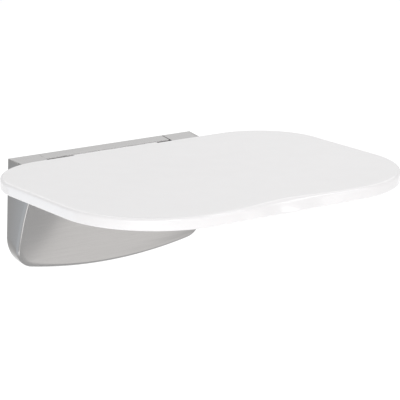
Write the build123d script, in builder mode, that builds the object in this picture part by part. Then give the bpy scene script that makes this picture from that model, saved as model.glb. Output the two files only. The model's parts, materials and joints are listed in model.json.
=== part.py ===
from build123d import *
from math import radians, tan
import os

# Wall-mounted fold-down shower seat, in millimetres.
# X runs along the wall, the wall is the plane Y = 0 and the seat reaches out to -Y, Z is up.
# The origin is the middle of the four wall-screw holes, on the wall.

os.makedirs("parts", exist_ok=True)

# Seat
seat_width = 430.0
seat_back_y = -66.0
seat_front_y = -380.0
seat_front_bulge = 4.5
seat_back_radius = 84.0
seat_front_radius = 118.0
seat_top_z = 80.0
seat_thickness = 13.4
seat_bottom_z = seat_top_z - seat_thickness
seat_top_rounding = 3.6
seat_bottom_rounding = 2.0
seat_skin = 5.0
seat_rim_width = 14.0
scoop_half_width = 88.0
scoop_depth = 12.0
panel_thickness = 3.0
panel_gap = 0.4
rib_thickness = 2.5
rib_pitch_x = 60.0
rib_pitch_y = 52.0
seat_centre_y = (seat_back_y + seat_front_y) / 2

# Hinge
axis_y = -33.0
axis_z = 53.0
axle_radius = 6.0
bush_clearance = 0.05
barrel_radius = 17.5
barrel_lower_radius = 12.5
hub_radius = seat_bottom_z - axis_z
neck_half = 60.0
neck_front_y = -98.0
neck_bottom_z = 48.6
neck_wall = 2.5
arm_x = 65.5
arm_thickness = 8.0
arm_front_y = -300.0
arm_rear_depth = 16.0
arm_front_depth = 9.0
cheek_x = 74.5
cheek_thickness = 6.0
cheek_bottom_z = -40.0
thread_radius = 5.0
washer_thickness = 1.5
nut_thickness = 8.0
nut_across_flats = 17.0

# Cross bars under the seat
bar_y = (-130.0, -262.0)
bar_depth = 34.0
bar_half = 122.0
bar_thickness = 4.0
seat_screw_x = (-100.0, -30.0, 30.0, 100.0)
seat_screw_radius = 2.5
seat_screw_head = 5.0
insert_radius = 3.6
insert_top_z = 77.0
neck_screw_x = (-40.0, 40.0)
neck_screw_y = -86.0
neck_screw_radius = 2.0

# Housing
cover_half_top = 131.6
cover_half_bottom = 137.5
cover_top_z = 69.8
cover_side_end_z = -60.2
cover_lowest_z = -75.9
cover_corner_radius = 38.0
cover_draft = 7.1
cover_wall = 1.5
cover_top_depth = 62.2
cover_head_z = 65.4
cover_bottom_depth = 20.0
cover_foot_z = -83.5
cover_edge_radius = 3.0
opening_half = 90.0
opening_bottom_z = 42.0
opening_corner = 4.0
strip_depth = 17.5
strip_lip = 3.3
strip_gap = 1.2

# Wall plate and stops
plate_thickness = 3.0
plate_half = 121.0
plate_bottom_z = -56.0
plate_top_z = 64.5
plate_corner_radius = 28.0
wall_hole_x = 200.0
wall_hole_z = 84.0
wall_hole_radius = 4.5
stop_bar_low_z = 56.7
stop_bar_high_z = 64.0
stop_bar_front_y = -12.0
pad_thickness = 1.6
touch_gap = 0.1
nose_tip_y = -8.0
nose_top_z = stop_bar_low_z - pad_thickness - touch_gap
bracket_x = 60.0
bracket_width = 18.0
bracket_thickness = 2.0
bracket_depth = 10.5
bracket_z = -62.9
cover_screw_y = -9.0
cover_screw_radius = 2.2
cover_screw_end_z = -71.3
cover_spacer_length = 6.6


def save(piece, name):
    """Label one finished piece and write it to its own STEP file."""
    piece.part.label = name
    export_step(piece.part, f"parts/{name}.step")


def seat_outline(inset):
    """Plan of the seat: a wide rounded rectangle with a gently bowed front edge."""
    half = seat_width / 2
    with BuildSketch() as outline:
        with BuildLine():
            Polyline((half, seat_front_y), (half, seat_back_y), (-half, seat_back_y), (-half, seat_front_y))
            ThreePointArc((-half, seat_front_y), (0, seat_front_y - seat_front_bulge), (half, seat_front_y))
        make_face()
        fillet(outline.vertices().group_by(Axis.Y)[0], seat_front_radius)
        fillet(outline.vertices().group_by(Axis.Y)[-1], seat_back_radius)
        if inset:
            offset(amount=-inset)
    return outline.sketch


def housing_outline(inset):
    """Front view of the housing at the wall: straight top, flared sides and a shallow arc below."""
    with BuildSketch() as outline:
        with BuildLine():
            Polyline(
                (cover_half_bottom, cover_side_end_z),
                (cover_half_top, cover_top_z),
                (-cover_half_top, cover_top_z),
                (-cover_half_bottom, cover_side_end_z),
            )
            ThreePointArc(
                (-cover_half_bottom, cover_side_end_z), (0, cover_lowest_z), (cover_half_bottom, cover_side_end_z)
            )
        make_face()
        fillet(outline.vertices().group_by(Axis.Y)[0], cover_corner_radius)
        if inset:
            offset(amount=-inset)
    return outline.sketch


def strip_top(depth):
    """Height of the sloping top face at a depth from the wall."""
    return cover_top_z - depth * tan(radians(cover_draft))


seat_screws = [(x, y) for y in bar_y for x in seat_screw_x]
neck_screws = [(x, neck_screw_y) for x in neck_screw_x]
pocket_top_z = seat_top_z - seat_skin
panel_top_z = seat_bottom_z + panel_thickness

# ---------------------------------------------------------------- seat body

# One moulded seat: flat top, rounded rim, a scooped front edge and a ribbed pocket underneath.
scoop_slope = Vector(0, scoop_depth, seat_thickness).normalized()
scoop_sag = seat_thickness * scoop_slope.Y
scoop_radius = (scoop_half_width**2 + scoop_sag**2) / (2 * scoop_sag)
scoop_foot = Vector(0, seat_front_y - seat_front_bulge, seat_bottom_z + seat_bottom_rounding)
scoop_out = Vector(0, -scoop_slope.Z, scoop_slope.Y)
scoop_plane = Plane(origin=scoop_foot + scoop_out * scoop_radius, z_dir=scoop_slope)

with BuildPart() as seat_shell:
    with BuildSketch(Plane.XY.offset(seat_bottom_z)):
        add(seat_outline(0))
    extrude(amount=seat_thickness)
    fillet(seat_shell.faces().sort_by(Axis.Z)[-1].edges(), seat_top_rounding)
    fillet(seat_shell.faces().sort_by(Axis.Z)[0].edges(), seat_bottom_rounding)
    with BuildSketch(scoop_plane):
        Circle(scoop_radius)
    extrude(amount=4 * seat_thickness, both=True, mode=Mode.SUBTRACT)
    with BuildSketch(Plane.XY.offset(seat_bottom_z)):
        add(seat_outline(seat_rim_width))
    extrude(amount=pocket_top_z - seat_bottom_z, mode=Mode.SUBTRACT)
    with BuildSketch(Plane.XY.offset(panel_top_z)):
        with Locations((0, seat_centre_y)):
            with GridLocations(rib_pitch_x, 1, 7, 1):
                Rectangle(rib_thickness, seat_width)
            with GridLocations(1, rib_pitch_y, 1, 6):
                Rectangle(seat_width, rib_thickness)
        with Locations(*seat_screws, *neck_screws):
            Circle(2 * insert_radius)
        add(seat_outline(seat_rim_width), mode=Mode.INTERSECT)
    extrude(amount=pocket_top_z - panel_top_z)
    with BuildSketch(Plane.XY.offset(panel_top_z)):
        with Locations(*seat_screws, *neck_screws):
            Circle(insert_radius)
    extrude(amount=insert_top_z - panel_top_z, mode=Mode.SUBTRACT)
save(seat_shell, "seat_shell")

# Flush panel that closes the pocket.
with BuildPart() as seat_underside_panel:
    with BuildSketch(Plane.XY.offset(seat_bottom_z)):
        add(seat_outline(seat_rim_width + panel_gap))
        with Locations(*seat_screws, *neck_screws):
            Circle(seat_screw_radius + panel_gap, mode=Mode.SUBTRACT)
    extrude(amount=panel_thickness)
save(seat_underside_panel, "seat_underside_panel")

# Threaded inserts moulded into the seat's bosses.
with BuildPart() as seat_inserts:
    with BuildSketch(Plane.XY.offset(panel_top_z + touch_gap)):
        with Locations(*seat_screws):
            Circle(insert_radius)
            Circle(seat_screw_radius, mode=Mode.SUBTRACT)
        with Locations(*neck_screws):
            Circle(insert_radius)
            Circle(neck_screw_radius, mode=Mode.SUBTRACT)
    extrude(amount=insert_top_z - panel_top_z - 2 * touch_gap)
save(seat_inserts, "seat_inserts")

# Side arms: hub on the axle, tapered bar under the seat, and a nose behind the hub that meets the stop.
for side, name in ((-1, "left"), (1, "right")):
    with BuildPart() as arm:
        with BuildSketch(Plane.YZ.offset(side * arm_x)):
            with BuildLine():
                Polyline(
                    (axis_y, seat_bottom_z),
                    (arm_front_y, seat_bottom_z),
                    (arm_front_y, seat_bottom_z - arm_front_depth),
                    (axis_y - 60, seat_bottom_z - arm_rear_depth),
                    (axis_y, seat_bottom_z - arm_rear_depth),
                    close=True,
                )
            make_face()
            with Locations((axis_y, axis_z)):
                Circle(hub_radius)
            with BuildLine():
                Polyline(
                    (axis_y, nose_top_z),
                    (nose_tip_y, nose_top_z),
                    (nose_tip_y, axis_z - 2.0),
                    (nose_tip_y - 6.5, axis_z - 4.5),
                    (axis_y, axis_z - 12.0),
                    close=True,
                )
            make_face()
            with Locations((axis_y, axis_z)):
                Circle(axle_radius + 2, mode=Mode.SUBTRACT)
            with Locations(*[(y, seat_bottom_z) for y in bar_y]):
                Rectangle(bar_depth, 2 * bar_thickness, mode=Mode.SUBTRACT)
        extrude(amount=arm_thickness / 2, both=True)
    save(arm, f"arm_{name}")

# Cross bars let into the tops of the arms, screwed up into the seat.
for y, name in zip(bar_y, ("rear", "front")):
    with BuildPart() as cross_bar:
        with BuildSketch(Plane.XY.offset(seat_bottom_z)):
            with Locations((0, y)):
                RectangleRounded(2 * bar_half, bar_depth, bar_depth / 4)
                with Locations(*[(x, 0) for x in seat_screw_x]):
                    Circle(seat_screw_radius + panel_gap, mode=Mode.SUBTRACT)
        extrude(amount=-bar_thickness)
    save(cross_bar, f"cross_bar_{name}")

# Tube welded between the arms, around the axle.
with BuildPart() as hinge_tube:
    with BuildSketch(Plane.YZ.offset(arm_thickness / 2 - arm_x)):
        with Locations((axis_y, axis_z)):
            Circle(axle_radius + 3)
            Circle(axle_radius + 0.5, mode=Mode.SUBTRACT)
    extrude(amount=2 * arm_x - arm_thickness)
save(hinge_tube, "hinge_tube")

# Flanged plastic bushes in the arms.
with BuildPart() as arm_bushes:
    for side in (-1, 1):
        with BuildSketch(Plane.YZ.offset(side * arm_x)):
            with Locations((axis_y, axis_z)):
                Circle(axle_radius + 1.97)
                Circle(axle_radius + bush_clearance, mode=Mode.SUBTRACT)
        extrude(amount=arm_thickness / 2, both=True)
        with BuildSketch(Plane.YZ.offset(side * (arm_x + arm_thickness / 2))):
            with Locations((axis_y, axis_z)):
                Circle(axle_radius + 5)
                Circle(axle_radius + bush_clearance, mode=Mode.SUBTRACT)
        extrude(amount=side * 1.4)
save(arm_bushes, "arm_bushes")


def neck_profile(inset):
    """Side view of the hinge cover: half barrel over the axle and a flat neck under the seat."""
    with BuildSketch() as profile:
        with Locations((axis_y, axis_z)):
            Circle(barrel_radius - inset)
            with Locations((0, -barrel_radius)):
                Rectangle(3 * barrel_radius, 2 * barrel_radius, mode=Mode.SUBTRACT)
            Circle(barrel_lower_radius - inset)
        neck_length = axis_y - neck_front_y - inset
        neck_height = seat_bottom_z - 0.2 - neck_bottom_z - 2 * inset
        with Locations((axis_y - neck_length / 2, neck_bottom_z + inset + neck_height / 2)):
            Rectangle(neck_length, neck_height)
    return profile.sketch


# Hinge cover in two halves that close around the axle tube, with a screw post at each front corner.
for name, keep in (("upper", Keep.TOP), ("lower", Keep.BOTTOM)):
    with BuildPart() as neck_cover:
        with BuildSketch(Plane.YZ):
            add(neck_profile(0))
        extrude(amount=neck_half, both=True)
        with BuildSketch(Plane.YZ):
            add(neck_profile(neck_wall))
        extrude(amount=neck_half - neck_wall, both=True, mode=Mode.SUBTRACT)
        with BuildSketch(Plane.XY.offset(neck_bottom_z + neck_wall / 2)):
            with Locations(*neck_screws):
                Circle(neck_screw_radius + neck_wall)
        extrude(amount=seat_bottom_z - neck_bottom_z - neck_wall)
        with BuildSketch(Plane.XY.offset(neck_bottom_z)):
            with Locations(*neck_screws):
                Circle(neck_screw_radius + 0.2)
        extrude(amount=seat_bottom_z - neck_bottom_z, mode=Mode.SUBTRACT)
        with BuildSketch(Plane.YZ):
            with Locations((axis_y, axis_z)):
                Circle(axle_radius + 3.5)
        extrude(amount=neck_half, both=True, mode=Mode.SUBTRACT)
        split(bisect_by=Plane.XY.offset(axis_z), keep=keep)
    save(neck_cover, f"neck_cover_{name}")

# Screws that hold the cross bars to the seat: pan head below, shank up into the insert.
with BuildPart() as seat_screw_group:
    with BuildSketch(Plane.XY.offset(seat_bottom_z - bar_thickness)):
        with Locations(*seat_screws):
            Circle(seat_screw_head)
    extrude(amount=-3)
    fillet(seat_screw_group.faces().group_by(Axis.Z)[0].edges(), 1.2)
    with BuildSketch(Plane.XY.offset(seat_bottom_z - bar_thickness)):
        with Locations(*seat_screws):
            Circle(seat_screw_radius - touch_gap)
    extrude(amount=insert_top_z - seat_bottom_z + bar_thickness - 1)
    with BuildSketch(Plane.XY.offset(seat_bottom_z - bar_thickness - 3)):
        with Locations(*seat_screws):
            RegularPolygon(1.8, 6)
    extrude(amount=2, mode=Mode.SUBTRACT)
save(seat_screw_group, "seat_screws")

# Screws that hold both neck cover halves to the seat.
with BuildPart() as neck_screw_group:
    with BuildSketch(Plane.XY.offset(neck_bottom_z)):
        with Locations(*neck_screws):
            Circle(2 * neck_screw_radius)
    extrude(amount=-2.2)
    fillet(neck_screw_group.faces().group_by(Axis.Z)[0].edges(), 0.9)
    with BuildSketch(Plane.XY.offset(neck_bottom_z)):
        with Locations(*neck_screws):
            Circle(neck_screw_radius - touch_gap)
    extrude(amount=insert_top_z - neck_bottom_z - 1)
    with BuildSketch(Plane.XY.offset(neck_bottom_z - 2.2)):
        with Locations(*neck_screws):
            RegularPolygon(1.4, 6)
    extrude(amount=1.4, mode=Mode.SUBTRACT)
save(neck_screw_group, "neck_screws")

# Plastic caps on the front ends of the arms.
with BuildPart() as arm_end_caps:
    with BuildSketch(Plane.XZ.offset(-arm_front_y)):
        for side in (-1, 1):
            with Locations((side * arm_x, seat_bottom_z - arm_front_depth / 2)):
                RectangleRounded(arm_thickness, arm_front_depth, 1.5)
    extrude(amount=3)
    fillet(arm_end_caps.faces().group_by(Axis.Y)[0].edges(), 1)
save(arm_end_caps, "arm_end_caps")

# ---------------------------------------------------------------- wall body

# Flat wall plate with rounded lower corners and four wall-screw holes.
with BuildPart() as wall_plate:
    with BuildSketch(Plane.XZ):
        with Locations((0, (plate_top_z + plate_bottom_z) / 2)):
            plate_face = Rectangle(2 * plate_half, plate_top_z - plate_bottom_z)
        fillet(plate_face.vertices().group_by(Axis.Y)[0], plate_corner_radius)
        with GridLocations(wall_hole_x, wall_hole_z, 2, 2):
            Circle(wall_hole_radius, mode=Mode.SUBTRACT)
    extrude(amount=plate_thickness)
save(wall_plate, "wall_plate")

# Sloping strip welded on the plate's top edge: it fills the cover's opening behind the barrel.
lip_back = strip_depth - cover_wall
with BuildPart() as top_strip:
    with BuildSketch(Plane.YZ):
        with BuildLine():
            Polyline(
                (0, plate_top_z),
                (0, cover_top_z),
                (-strip_depth, strip_top(strip_depth)),
                (-strip_depth, strip_top(strip_depth) - strip_lip),
                (-lip_back, strip_top(strip_depth) - strip_lip),
                (-lip_back, strip_top(lip_back) - cover_wall),
                (-plate_thickness, strip_top(plate_thickness) - cover_wall),
                (-plate_thickness, plate_top_z),
                close=True,
            )
        make_face()
    extrude(amount=opening_half - strip_gap, both=True)
save(top_strip, "top_strip")

# Cheeks welded to the wall plate: they carry the axle.
for side, name in ((-1, "left"), (1, "right")):
    with BuildPart() as cheek:
        with BuildSketch(Plane.YZ.offset(side * cheek_x)):
            with BuildLine():
                Polyline(
                    (-plate_thickness, cheek_bottom_z),
                    (-plate_thickness, plate_top_z - 1),
                    (axis_y - 10, plate_top_z - 1),
                    (axis_y - 14, axis_z),
                    (axis_y - 6, axis_z - 14),
                    (-12, cheek_bottom_z + 10),
                    close=True,
                )
            make_face()
            with Locations((axis_y, axis_z)):
                Circle(axle_radius + bush_clearance, mode=Mode.SUBTRACT)
        extrude(amount=cheek_thickness / 2, both=True)
    save(cheek, f"hinge_cheek_{name}")

# Stop bar between the cheeks, behind the barrel.
with BuildPart() as stop_bar:
    with BuildSketch(Plane.YZ):
        with BuildLine():
            Polyline(
                (-plate_thickness, stop_bar_low_z),
                (-plate_thickness, stop_bar_high_z),
                (stop_bar_front_y, stop_bar_high_z),
                (stop_bar_front_y, stop_bar_low_z),
                close=True,
            )
        make_face()
    extrude(amount=cheek_x - cheek_thickness / 2, both=True)
save(stop_bar, "stop_bar")

# Rubber pads under the stop bar: the arm noses press up on them when the seat is down.
with BuildPart() as stop_pads:
    with BuildSketch(Plane.XY.offset(stop_bar_low_z)):
        for side in (-1, 1):
            with Locations((side * arm_x, stop_bar_front_y / 2 - 2)):
                Rectangle(arm_thickness + 1, 6.4)
    extrude(amount=-pad_thickness)
save(stop_pads, "stop_pads")

# Rubber buffers on the front of the stop bar: the arms rest on them when the seat is folded up.
with BuildPart() as fold_buffers:
    with BuildSketch(Plane.XZ.offset(-stop_bar_front_y)):
        for side in (-1, 1):
            with Locations((side * arm_x, (stop_bar_low_z + stop_bar_high_z) / 2 + 0.2)):
                Rectangle(arm_thickness, 6.4)
    extrude(amount=stop_bar_front_y - axis_y - hub_radius - touch_gap)
save(fold_buffers, "fold_buffers")

# Axle with a threaded stub at each end.
axle_half = cheek_x + cheek_thickness / 2
with BuildPart() as hinge_axle:
    with BuildSketch(Plane.YZ):
        with Locations((axis_y, axis_z)):
            Circle(axle_radius)
    extrude(amount=axle_half, both=True)
    with BuildSketch(Plane.YZ):
        with Locations((axis_y, axis_z)):
            Circle(thread_radius)
    extrude(amount=axle_half + washer_thickness + nut_thickness + 1.5, both=True)
save(hinge_axle, "hinge_axle")

with BuildPart() as axle_washers:
    for side in (-1, 1):
        with BuildSketch(Plane.YZ.offset(side * axle_half)):
            with Locations((axis_y, axis_z)):
                Circle(2 * thread_radius)
                Circle(thread_radius + bush_clearance, mode=Mode.SUBTRACT)
        extrude(amount=side * washer_thickness)
save(axle_washers, "axle_washers")

with BuildPart() as axle_nuts:
    for side in (-1, 1):
        with BuildSketch(Plane.YZ.offset(side * (axle_half + washer_thickness))):
            with Locations((axis_y, axis_z)):
                RegularPolygon(nut_across_flats / 2, 6, major_radius=False)
                Circle(thread_radius + bush_clearance, mode=Mode.SUBTRACT)
        extrude(amount=side * nut_thickness)
save(axle_nuts, "axle_nuts")


def housing_block(inset):
    """Solid wedge of the housing: drafted on every side, with a curved front face and rounded front edges."""
    foot_y = inset - cover_bottom_depth
    with BuildPart() as block:
        with BuildSketch(Plane.XZ):
            add(housing_outline(inset))
        extrude(amount=cover_top_depth + 5, taper=cover_draft)
        with BuildSketch(Plane.YZ):
            with BuildLine():
                Polyline((0, cover_foot_z - 10), (foot_y, cover_foot_z - 10), (foot_y, cover_foot_z))
                front = TangentArc((foot_y, cover_foot_z), (inset - cover_top_depth, cover_head_z), tangent=(0, 1))
                Polyline(front @ 1, (-cover_top_depth, cover_top_z + 5), (0, cover_top_z + 5), (0, cover_foot_z - 10))
            make_face()
        extrude(amount=1.2 * cover_half_bottom, both=True, mode=Mode.INTERSECT)
        front_edges = [
            edge for edge in block.edges() if max(corner.Y for corner in edge.vertices()) < inset + 2 - cover_bottom_depth
        ]
        fillet(front_edges, cover_edge_radius - inset)
    return block.part


# Folded sheet cover, open at the back and at the top middle, where the seat's neck passes.
cover_screws_at = [(side * bracket_x, cover_screw_y) for side in (-1, 1)]
with BuildPart() as housing_cover:
    add(housing_block(0))
    add(housing_block(cover_wall), mode=Mode.SUBTRACT)
    with BuildSketch(Plane.XZ.offset(-5)):
        with Locations((0, opening_bottom_z + 50)):
            RectangleRounded(2 * opening_half, 100, opening_corner)
    extrude(amount=100, mode=Mode.SUBTRACT)
    with BuildSketch(Plane.XY.offset(cover_lowest_z - 5)):
        with Locations(*cover_screws_at):
            Circle(cover_screw_radius + 0.2)
    extrude(amount=20, mode=Mode.SUBTRACT)
save(housing_cover, "housing_cover")

# Rubber seal between the cover's edge and the wall, open under the top strip.
with BuildPart() as wall_seal:
    with BuildSketch(Plane.XZ):
        add(housing_outline(cover_wall + 0.2))
    extrude(amount=4, taper=cover_draft)
    with BuildSketch(Plane.XZ):
        add(housing_outline(cover_wall + 3.2))
    extrude(amount=10, both=True, mode=Mode.SUBTRACT)
    with BuildSketch(Plane.XZ):
        with Locations((0, cover_top_z)):
            Rectangle(2.4 * cover_half_top, 12)
    extrude(amount=10, both=True, mode=Mode.SUBTRACT)
save(wall_seal, "wall_seal")

# Angle brackets at the foot of the wall plate, each with a collar and a grub screw for the cover.
with BuildPart() as cover_brackets:
    with BuildSketch(Plane.YZ):
        with BuildLine():
            Polyline(
                (-plate_thickness, plate_bottom_z + 20),
                (-plate_thickness - bracket_thickness, plate_bottom_z + 20),
                (-plate_thickness - bracket_thickness, bracket_z + bracket_thickness),
                (-plate_thickness - bracket_depth, bracket_z + bracket_thickness),
                (-plate_thickness - bracket_depth, bracket_z),
                (-plate_thickness, bracket_z),
                close=True,
            )
        make_face()
    extrude(amount=bracket_x + bracket_width / 2, both=True)
    with BuildSketch(Plane.XZ):
        Rectangle(2 * bracket_x - bracket_width, 4 * bracket_x)
    extrude(amount=50, both=True, mode=Mode.SUBTRACT)
    with BuildSketch(Plane.XY.offset(bracket_z - 1)):
        with Locations(*cover_screws_at):
            Circle(cover_screw_radius + touch_gap)
    extrude(amount=10, mode=Mode.SUBTRACT)
save(cover_brackets, "cover_brackets")

with BuildPart() as cover_spacers:
    with BuildSketch(Plane.XY.offset(bracket_z)):
        with Locations(*cover_screws_at):
            Circle(4)
            Circle(cover_screw_radius + touch_gap, mode=Mode.SUBTRACT)
    extrude(amount=-cover_spacer_length)
save(cover_spacers, "cover_spacers")

# Grub screws, turned down until their ends sit in the holes in the cover's underside.
with BuildPart() as cover_screws:
    with BuildSketch(Plane.XY.offset(cover_screw_end_z)):
        with Locations(*cover_screws_at):
            Circle(cover_screw_radius)
    extrude(amount=bracket_z + 4 - cover_screw_end_z)
    with BuildSketch(Plane.XY.offset(cover_screw_end_z)):
        with Locations(*cover_screws_at):
            RegularPolygon(1.3, 6)
    extrude(amount=2.5, mode=Mode.SUBTRACT)
save(cover_screws, "cover_screws")
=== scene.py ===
import json
import math

import bmesh
import bpy
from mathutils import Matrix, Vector


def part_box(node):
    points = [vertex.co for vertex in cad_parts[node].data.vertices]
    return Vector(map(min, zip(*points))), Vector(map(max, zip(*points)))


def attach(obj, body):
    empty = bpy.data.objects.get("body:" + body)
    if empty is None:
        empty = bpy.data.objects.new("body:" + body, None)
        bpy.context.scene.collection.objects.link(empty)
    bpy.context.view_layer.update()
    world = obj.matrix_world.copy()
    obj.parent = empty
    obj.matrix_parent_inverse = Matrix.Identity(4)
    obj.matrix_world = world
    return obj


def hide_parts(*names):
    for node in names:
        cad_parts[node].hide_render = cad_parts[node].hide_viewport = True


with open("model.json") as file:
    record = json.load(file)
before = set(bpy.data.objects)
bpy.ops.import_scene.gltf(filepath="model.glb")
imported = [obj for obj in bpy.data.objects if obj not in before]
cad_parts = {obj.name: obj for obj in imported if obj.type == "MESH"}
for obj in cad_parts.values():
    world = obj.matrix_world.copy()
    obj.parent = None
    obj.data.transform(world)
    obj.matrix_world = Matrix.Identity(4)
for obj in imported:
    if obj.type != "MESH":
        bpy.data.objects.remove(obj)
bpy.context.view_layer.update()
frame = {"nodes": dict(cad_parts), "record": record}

MM = 0.001
WALL, SEAT = "wall_unit", "seat"
FLOOR_Z = -0.48


# ---------------------------------------------------------------- camera, light and stage

def make_camera():
    """A long lens a little above the seat, looking down at its left front corner."""
    data = bpy.data.cameras.new("camera")
    data.sensor_width = 36.0
    data.lens = 174.7
    data.clip_end = 50.0
    camera = bpy.data.objects.new("camera", data)
    bpy.context.scene.collection.objects.link(camera)
    azimuth, elevation = math.radians(35.24), math.radians(14.505)
    camera.location = (-1.2427, -1.9685, 0.6008)
    camera.rotation_euler = (math.pi / 2 - elevation, 0.0, -azimuth)
    bpy.context.scene.camera = camera


def area_light(name, location, target, size, power, turn=0.0, tint=(1.0, 1.0, 1.0)):
    """A rectangular softbox aimed at a point; with no target it lies face up, turned by an angle."""
    data = bpy.data.lights.new(name, "AREA")
    data.shape = "RECTANGLE"
    data.size, data.size_y = size
    data.energy = power
    data.color = tint
    light = bpy.data.objects.new(name, data)
    light.location = location
    light.rotation_euler = (math.pi, 0.0, math.radians(turn))
    if target:
        light.rotation_euler = (Vector(target) - Vector(location)).to_track_quat("-Z", "Y").to_euler()
    bpy.context.scene.collection.objects.link(light)


def make_studio():
    """White surroundings, softboxes above and in front, three low ones for the steel, and a pale floor."""
    scene = bpy.context.scene
    scene.view_settings.view_transform = "Standard"
    world = bpy.data.worlds.new("studio")
    world.use_nodes = True
    background = world.node_tree.nodes["Background"]
    background.inputs["Color"].default_value = (1.0, 1.0, 1.0, 1.0)
    background.inputs["Strength"].default_value = 0.84
    scene.world = world
    middle, low = (0, -0.2, 0), FLOOR_Z + 0.02
    area_light("floor_light", (1.9, 2.4, 1.9), (1.9, 2.4, 0), (4.5, 4.5), 38)
    area_light("key_light", (-0.4, -2.0, 1.9), middle, (0.7, 0.7), 8.0)
    area_light("edge_light", (1.05, -0.85, 1.70), (0, -0.38, 0.08), (0.25, 0.9), 4.4)
    area_light("front_light", (-1.6, -1.9, 0.3), middle, (1.4, 0.9), 19.0)
    area_light("right_light", (0.8, -2.3, 0.5), middle, (2.2, 1.4), 7.0)
    area_light("low_light", (0.47, -0.70, low), None, (0.315, 0.68), 0.48, turn=10,
               tint=(1.0, 0.97, 0.935))
    area_light("left_low_light", (-0.72, -0.33, low), None, (0.45, 0.45), 0.95)
    area_light("side_light", (-0.513, 0.152, -0.08), (-0.128, -0.228, 0.03), (0.3, 0.5), 0.21,
               tint=(0.72, 0.86, 1.0))

    mesh = bpy.data.meshes.new("floor")
    shape = bmesh.new()
    bmesh.ops.create_grid(shape, x_segments=2, y_segments=2, size=12.0)
    shape.to_mesh(mesh)
    shape.free()
    floor = bpy.data.objects.new("floor", mesh)
    floor.location = (0, 0, FLOOR_Z)
    scene.collection.objects.link(floor)
    mesh.materials.append(floor_material())


# ---------------------------------------------------------------- materials

class Nodes:
    """A short way to write one node material."""

    def __init__(self, name):
        self.material = bpy.data.materials.new(name)
        self.material.use_nodes = True
        self.tree = self.material.node_tree
        self.shader = self.tree.nodes["Principled BSDF"]

    def add(self, kind, **settings):
        node = self.tree.nodes.new("ShaderNode" + kind)
        for key, value in settings.items():
            setattr(node, key, value)
        return node

    def link(self, source, target):
        self.tree.links.new(source, target)

    def set(self, **values):
        for key, value in values.items():
            self.shader.inputs[key.replace("_", " ")].default_value = value

    def coords(self, scale):
        """Object coordinates in metres times a scale for each axis."""
        texture = self.add("TexCoord")
        mapping = self.add("Mapping")
        mapping.inputs["Scale"].default_value = scale
        self.link(texture.outputs["Object"], mapping.inputs["Vector"])
        return mapping.outputs["Vector"]

    def noise(self, scale, detail=2.0, roughness=0.5):
        node = self.add("TexNoise")
        node.inputs["Scale"].default_value = 1.0
        node.inputs["Detail"].default_value = detail
        node.inputs["Roughness"].default_value = roughness
        self.link(self.coords(scale), node.inputs["Vector"])
        return node.outputs["Fac"]

    def ramp(self, factor, stops):
        node = self.add("ValToRGB")
        elements = node.color_ramp.elements
        while len(elements) < len(stops):
            elements.new(0.5)
        for element, (place, colour) in zip(elements, stops):
            element.position = place
            element.color = (*colour, 1.0)
        self.link(factor, node.inputs["Fac"])
        return node.outputs["Color"]

    def span(self, factor, low, high, start=0.3, end=0.7):
        node = self.add("MapRange")
        node.inputs["From Min"].default_value = start
        node.inputs["From Max"].default_value = end
        node.inputs["To Min"].default_value = low
        node.inputs["To Max"].default_value = high
        self.link(factor, node.inputs["Value"])
        return node.outputs["Result"]

    def bump(self, height, distance):
        node = self.add("Bump")
        node.inputs["Strength"].default_value = 1.0
        node.inputs["Distance"].default_value = distance
        self.link(height, node.inputs["Height"])
        return node.outputs["Normal"]


def grey(value, warm=0.0):
    return (value * (1 + warm), value, value * (1 - warm))


def moulded(name, light, dark, rough, grain, depth, coat=0.0):
    """Moulded plastic: faint tone drift, a fine even grain and slightly uneven gloss."""
    m = Nodes(name)
    drift = m.noise((9, 9, 9), detail=3.0)
    m.link(m.ramp(drift, [(0.3, dark), (0.7, light)]), m.shader.inputs["Base Color"])
    m.link(m.span(m.noise((40, 40, 40), detail=3.0), rough[0], rough[1]), m.shader.inputs["Roughness"])
    fine = m.noise((grain, grain, grain), detail=1.5)
    m.link(m.bump(fine, depth), m.shader.inputs["Normal"])
    m.set(IOR=1.5, Coat_Weight=coat, Coat_Roughness=0.08)
    return m.material


def brushed(name, light, dark, along, rough, depth, metallic=1.0, anisotropic=0.0):
    """Brushed metal: hair-fine streaks along one axis, in tone, gloss and a very shallow relief."""
    m = Nodes(name)
    fine = tuple(20 if axis == along else 2600 for axis in "XYZ")
    broad = tuple(4 if axis == along else 260 for axis in "XYZ")
    streaks = m.noise(fine, detail=2.0, roughness=0.6)
    bands = m.noise(broad, detail=2.0)
    m.link(m.ramp(streaks, [(0.3, dark), (0.7, light)]), m.shader.inputs["Base Color"])
    m.link(m.span(bands, rough[0], rough[1]), m.shader.inputs["Roughness"])
    m.link(m.bump(streaks, depth), m.shader.inputs["Normal"])
    m.set(Metallic=metallic, Anisotropic=anisotropic)
    return m.material


def floor_material():
    m = Nodes("floor_paper")
    m.link(m.ramp(m.noise((2, 2, 2)), [(0.3, grey(0.93)), (0.7, grey(0.95))]), m.shader.inputs["Base Color"])
    m.set(Roughness=0.9, Specular_IOR_Level=0.0)
    return m.material


def turned(name, light, dark, rough, scale=260, metallic=1.0):
    """Machined or rolled metal with a fine mottled finish."""
    m = Nodes(name)
    mottle = m.noise((scale, scale, scale), detail=4.0, roughness=0.6)
    m.link(m.ramp(mottle, [(0.3, dark), (0.7, light)]), m.shader.inputs["Base Color"])
    m.link(m.span(mottle, rough[0], rough[1]), m.shader.inputs["Roughness"])
    m.link(m.bump(mottle, 0.00002), m.shader.inputs["Normal"])
    m.set(Metallic=metallic)
    return m.material


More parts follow.
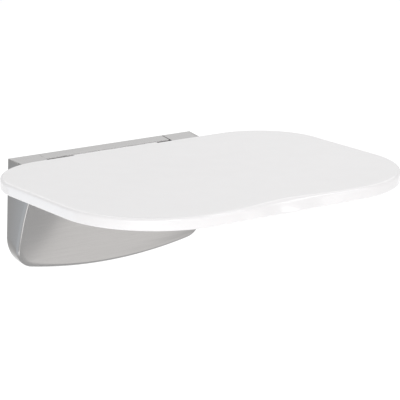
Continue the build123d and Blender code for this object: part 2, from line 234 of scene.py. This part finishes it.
MATERIALS = {
    "white_seat": moulded(
        "white_seat", (0.638, 0.628, 0.632), (0.630, 0.620, 0.624), (0.30, 0.36),
        1800, 0.000002, coat=0.8),
    "white_panel": moulded("white_panel", grey(0.80, 0.005), grey(0.76, 0.005), (0.45, 0.6), 900, 0.00004),
    "brushed_steel": brushed(
        "brushed_steel", (0.301, 0.296, 0.294), (0.276, 0.271, 0.269), "X", (0.12, 0.15),
        0.000001, anisotropic=0.3),
    "frame_steel": brushed("frame_steel", grey(0.46), grey(0.36), "Y", (0.32, 0.45), 0.00002),
    "fastener_steel": turned("fastener_steel", grey(0.66), grey(0.55), (0.18, 0.3)),
    "brass": turned("brass", (0.72, 0.54, 0.26), (0.62, 0.44, 0.2), (0.2, 0.32)),
    "bearing_plastic": moulded(
        "bearing_plastic", (0.78, 0.76, 0.68), (0.72, 0.7, 0.62), (0.4, 0.5),
        1200, 0.00002),
    "black_plastic": moulded("black_plastic", grey(0.035), grey(0.025), (0.45, 0.6), 1400, 0.00004),
    "rubber": moulded("rubber", grey(0.04), grey(0.028), (0.7, 0.85), 900, 0.00006),
}


def finish_cad_nodes():
    """Every carried-over CAD node gets the detailed material of its slot."""
    for part in frame["record"]["subparts"]:
        node = frame["nodes"][part["node"]]
        node.data.materials.clear()
        node.data.materials.append(MATERIALS[part["material_slot"]])


# ---------------------------------------------------------------- mesh helpers

def add_piece(name, shape, slot, body, replaces):
    """Finish a bmesh as a visible piece that rides on a body and stands for its CAD node."""
    bmesh.ops.recalc_face_normals(shape, faces=shape.faces)
    mesh = bpy.data.meshes.new(name)
    shape.to_mesh(mesh)
    shape.free()
    piece = bpy.data.objects.new(name, mesh)
    bpy.context.scene.collection.objects.link(piece)
    mesh.materials.append(MATERIALS[slot])
    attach(piece, body)
    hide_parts(replaces)
    return piece


def smooth_by_angle(piece, degrees):
    """Smooth shading everywhere but across edges sharper than an angle."""
    mesh = piece.data
    mesh.polygons.foreach_set("use_smooth", [True] * len(mesh.polygons))
    mesh.set_sharp_from_angle(angle=math.radians(degrees))


def bridge_rings(shape, rings):
    """Quads between each ring of vertices and the next; every ring has the same count."""
    for first, second in zip(rings, rings[1:]):
        count = len(first)
        for i in range(count):
            j = (i + 1) % count
            shape.faces.new((first[i], first[j], second[j], second[i]))


def arc(centre, radius, start, end, count):
    """Points on an arc in plan, angles in degrees, without the last one."""
    angles = [math.radians(start + (end - start) * i / count) for i in range(count)]
    return [Vector((centre[0] + radius * math.cos(a), centre[1] + radius * math.sin(a))) for a in angles]


def line(start, end, count):
    start, end = Vector(start), Vector(end)
    return [start.lerp(end, i / count) for i in range(count)]


def inward_normals(points):
    """Unit normals that point into a counter-clockwise outline."""
    count = len(points)
    normals = []
    for i in range(count):
        along = (points[(i + 1) % count] - points[i - 1]).normalized()
        normals.append(Vector((-along.y, along.x)))
    return normals


# ---------------------------------------------------------------- seat

def seat_plan():
    """Counter-clockwise plan outline of the seat, from the CAD box and its corner radii."""
    low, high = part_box("seat_shell")
    half, back, front = high.x, high.y, low.y
    back_radius, front_radius, bulge = 84 * MM, 118 * MM, 4.5 * MM
    bow = (half**2 + bulge**2) / (2 * bulge)
    bow_centre_y = front + bow
    corner_x = half - front_radius
    corner_y = bow_centre_y - math.sqrt((bow - front_radius) ** 2 - corner_x**2)
    lean = math.degrees(math.atan2(corner_x, bow_centre_y - corner_y))
    side_end = back - back_radius
    outline = arc((0, bow_centre_y), bow, -90 - lean, -90 + lean, 90)
    outline += arc((corner_x, corner_y), front_radius, -90 + lean, 0, 64)
    outline += line((half, corner_y), (half, side_end), 40)
    outline += arc((half - back_radius, side_end), back_radius, 0, 90, 48)
    outline += line((half - back_radius, back), (back_radius - half, back), 70)
    outline += arc((back_radius - half, side_end), back_radius, 90, 180, 48)
    outline += line((-half, side_end), (-half, corner_y), 40)
    outline += arc((-corner_x, corner_y), front_radius, 180, 270 - lean, 64)
    return outline


def make_seat():
    """The moulded seat: rounded rim, front edge scooped back, faintly dished top, open pocket below."""
    low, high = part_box("seat_shell")
    top, bottom = high.z, low.z
    outline = seat_plan()
    normals = inward_normals(outline)
    scoop_half, scoop_depth, scoop_reach = 88 * MM, 12 * MM, 46 * MM
    rim_width, pocket_top = 14 * MM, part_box("seat_underside_panel")[1].z + 5 * MM
    top_round, bottom_round, dish = 3.6 * MM, 2.0 * MM, 0.9 * MM
    flat_reach = 60 * MM
    centre_y = (low.y + high.y) / 2
    spine_half = 60 * MM

    def scoop(point):
        """How far the top edge is set back here."""
        if point.y > centre_y or abs(point.x) > scoop_half:
            return 0.0
        return scoop_depth * 0.5 * (1 + math.cos(math.pi * point.x / scoop_half))

    shape = bmesh.new()

    def ring(inset, z, share):
        """One closed loop at an inset from the outline, set back by a share of the scoop."""
        loop = []
        for point, normal in zip(outline, normals):
            place = point + normal * (inset + scoop(point) * share)
            loop.append(shape.verts.new((place.x, place.y, z)))
        return loop

    def share_at(z):
        return (z - bottom) / (top - bottom)

    rings = [ring(rim_width, pocket_top, 0.0), ring(rim_width, bottom + 1 * MM, 0.0)]
    rings += [ring(rim_width - 0.6 * MM, bottom, 0.0), ring(bottom_round + 4 * MM, bottom, 0.0)]
    steps = 8
    for i in range(steps + 1):
        angle = math.pi / 2 * i / steps
        z = bottom + bottom_round * (1 - math.cos(angle))
        rings.append(ring(bottom_round * (1 - math.sin(angle)), z, share_at(z)))
    rings.append(ring(0, (bottom + bottom_round + top - top_round) / 2, share_at((bottom + top) / 2)))
    steps = 12
    for i in range(steps + 1):
        angle = math.pi / 2 * i / steps
        z = top - top_round * (1 - math.sin(angle))
        rings.append(ring(top_round * (1 - math.cos(angle)), z, share_at(z)))
    for i in range(1, 15):
        inset = top_round + (flat_reach - top_round) * i / 14
        fade = max(0.0, 1 - (inset - top_round) / scoop_reach)
        rings.append(ring(inset, top, fade * fade * (3 - 2 * fade)))
    edge = [vertex.co.copy() for vertex in rings[-1]]
    for i in range(1, 16):
        blend = 0.97 * i / 15
        loop = []
        for place in edge:
            spine = Vector((max(-spine_half, min(spine_half, place.x)), centre_y, top))
            loop.append(shape.verts.new(place.lerp(spine, blend)))
        rings.append(loop)
    bridge_rings(shape, rings)
    shape.faces.new(rings[0])
    shape.faces.new(rings[-1])

    def edge_distance(co):
        across = min(1.0, abs(co.x) / high.x)
        along = min(1.0, abs(co.y - centre_y) / (high.y - centre_y))
        return (1 - across**4) * (1 - along**4)

    for vertex in shape.verts:
        if vertex.co.z > top - 1e-6:
            depth = edge_distance(vertex.co)
            vertex.co.z -= dish * depth * depth
    seat = add_piece("seat_moulding", shape, "white_seat", SEAT, "seat_shell")
    smooth_by_angle(seat, 40)


# ---------------------------------------------------------------- housing

def housing_plan(inset, radius):
    """Counter-clockwise front view of the housing as (x, z) points, for one radius of the lower corners."""
    half_bottom, half_top = 137.5 * MM, 131.6 * MM
    top, side_end, lowest = 69.8 * MM, -60.2 * MM, -75.9 * MM
    sag = side_end - lowest
    bow = (half_bottom**2 + sag**2) / (2 * sag)
    bow_z = lowest + bow
    slope = (half_bottom - half_top) / (top - side_end)
    normal = Vector((-1, -slope)).normalized()

    def side_x(z):
        return half_bottom - slope * (z - side_end)

    corner_z = side_end + radius
    for _ in range(20):
        corner_x = side_x(corner_z) + radius * normal.x / (normal.x**2)
        corner_z = bow_z - math.sqrt((bow - radius) ** 2 - corner_x**2)
    lean = math.degrees(math.atan2(corner_x, bow_z - corner_z))
    tilt = math.degrees(math.atan(slope))
    side_foot = Vector((corner_x, corner_z)) - normal * radius
    top_corner = Vector((side_x(top), top))
    points = arc((0, bow_z), bow, -90 - lean, -90 + lean, 70)
    points += arc((corner_x, corner_z), radius, -90 + lean, tilt, 30)
    points += line(side_foot, top_corner, 40)
    points += line(top_corner, (-top_corner.x, top), 90)
    points += line((-top_corner.x, top), (-side_foot.x, side_foot.y), 40)
    points += arc((-corner_x, corner_z), radius, 180 - tilt, 270 - lean, 30)
    normals = inward_normals(points)
    if not inset:
        return points, normals
    moved = []
    for point, inward in zip(points, normals):
        corner = abs(point.x) > half_top - 1e-5 and abs(point.y - top) < 1e-5
        reach = inset * (math.sqrt(2) if corner else 1)
        moved.append(point + inward * reach)
    return moved, normals


def front_depth(z, inset):
    """Depth of the housing's front face at a height: an arc that stands upright at the bottom."""
    foot_z, foot, head_z, head = -83.5 * MM, 20.0 * MM - inset, 65.4 * MM, 62.2 * MM - inset
    rise, run = head_z - foot_z, head - foot
    radius = (run**2 + rise**2) / (2 * run)
    above = max(0.0, min(z, head_z) - foot_z)
    return foot + radius - math.sqrt(radius**2 - above**2)


def housing_skin(shape, inset, round_radius):
    """One skin of the housing, from the wall over the rounded front edge to the middle of the face."""
    draft = math.tan(math.radians(7.1))
    wall_points, _ = housing_plan(inset, 40.6 * MM)
    front_points, normals = housing_plan(inset, 26.0 * MM)
    blend_depth = 20 * MM
    spine_z = 5 * MM
    spine_half = 70 * MM
    rings = []

    def place(wall, front, normal, depth):
        """A point of the side wall: the lower corners tighten over the first stretch away from the wall."""
        moved = wall.lerp(front, min(1.0, depth / blend_depth)) + normal * draft * depth
        return shape.verts.new((moved.x, -depth, moved.y))

    def edge_depth(point, normal):
        """Depth at which this point's wall meets the front face."""
        depth = front_depth(point.y, inset)
        for _ in range(6):
            depth = front_depth((point + normal * draft * depth).y, inset)
        return depth

    ends = [edge_depth(p, n) for p, n in zip(front_points, normals)]
    steps = 10
    for i in range(steps + 1):
        strips = zip(wall_points, front_points, normals, ends)
        rings.append([place(w, f, n, (end - round_radius) * i / steps) for w, f, n, end in strips])
    steps = 8
    for i in range(1, steps + 1):
        angle = math.pi / 2 * i / steps
        inner, drop = round_radius * (1 - math.cos(angle)), round_radius * (1 - math.sin(angle))
        loop = []
        for point, normal, end in zip(front_points, normals, ends):
            at = point + normal * (draft * end + inner)
            loop.append(shape.verts.new((at.x, -(front_depth(at.y, inset) - drop), at.y)))
        rings.append(loop)
    edge = [vertex.co.copy() for vertex in rings[-1]]
    for i in range(1, 25):
        blend = 0.985 * i / 24
        loop = []
        for co in edge:
            spine = Vector((max(-spine_half, min(spine_half, co.x)), 0, spine_z))
            at = co.lerp(spine, blend)
            loop.append(shape.verts.new((at.x, -front_depth(at.z, inset), at.z)))
        rings.append(loop)
    bridge_rings(shape, rings)
    shape.faces.new(rings[-1])
    return rings[0]


def make_housing():
    """The folded sheet cover, cut open at the top middle where the seat's neck passes."""
    wall = 1.5 * MM
    shape = bmesh.new()
    outer = housing_skin(shape, 0.0, 3.4 * MM)
    inner = housing_skin(shape, wall, 1.9 * MM)
    bridge_rings(shape, [outer, inner])
    cover = add_piece("steel_cover", shape, "brushed_steel", WALL, "housing_cover")

    opening_half, opening_foot, corner = 90.0 * MM, 42.0 * MM, 4.0 * MM
    outline = arc((-opening_half + corner, opening_foot + corner), corner, 180, 270, 8)
    outline += arc((opening_half - corner, opening_foot + corner), corner, 270, 360, 8)
    outline += [Vector((opening_half, 0.12)), Vector((-opening_half, 0.12))]
    cutter_shape = bmesh.new()
    front = [cutter_shape.verts.new((p.x, -0.1, p.y)) for p in outline]
    rear = [cutter_shape.verts.new((p.x, 0.01, p.y)) for p in outline]
    bridge_rings(cutter_shape, [front, rear])
    cutter_shape.faces.new(front)
    cutter_shape.faces.new(rear)
    bmesh.ops.recalc_face_normals(cutter_shape, faces=cutter_shape.faces)
    cutter_mesh = bpy.data.meshes.new("cutter")
    cutter_shape.to_mesh(cutter_mesh)
    cutter_shape.free()
    cutter = bpy.data.objects.new("cutter", cutter_mesh)
    bpy.context.scene.collection.objects.link(cutter)

    cut = cover.modifiers.new("opening", "BOOLEAN")
    cut.operation = "DIFFERENCE"
    cut.solver = "EXACT"
    cut.object = cutter
    apply_modifiers(cover)
    bpy.data.objects.remove(cutter)
    smooth_by_angle(cover, 35)


def make_strip():
    """The steel strip on the wall plate: a sloping sheet folded down into a short lip at its front."""
    low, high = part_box("top_strip")
    left_gap, right_gap, opening_half = 0.3 * MM, 1.2 * MM, 90 * MM
    wall, lip_back = 1.5 * MM, -low.y - 1.5 * MM
    slope = math.tan(math.radians(7.1))
    bend = 1.2 * MM
    profile = [(0.0, low.z), (0.0, high.z)]
    knee = (-low.y, high.z + low.y * slope)
    for i in range(9):
        angle = math.pi / 2 - math.pi / 2 * i / 8
        profile.append((knee[0] - bend * (1 - math.cos(angle)), knee[1] - bend * (1 - math.sin(angle))))
    profile += [(knee[0], low.z), (lip_back, low.z), (lip_back, high.z - lip_back * slope - wall)]
    profile += [(3 * MM, high.z - 3 * MM * slope - wall), (3 * MM, low.z)]
    shape = bmesh.new()
    count = 60
    rings = []
    for i in range(count + 1):
        x = -opening_half + left_gap + (2 * opening_half - left_gap - right_gap) * i / count
        rings.append([shape.verts.new((x, -depth, z)) for depth, z in profile])
    bridge_rings(shape, rings)
    shape.faces.new(rings[0])
    shape.faces.new(rings[-1])
    strip = add_piece("steel_strip", shape, "brushed_steel", WALL, "top_strip")
    smooth_by_angle(strip, 30)


def apply_modifiers(piece):
    """Bake the piece's modifiers into its mesh."""
    bpy.context.view_layer.update()
    evaluated = piece.evaluated_get(bpy.context.evaluated_depsgraph_get())
    mesh = bpy.data.meshes.new_from_object(evaluated)
    piece.modifiers.clear()
    piece.data = mesh


make_camera()
make_studio()
finish_cad_nodes()
make_seat()
make_housing()
make_strip()
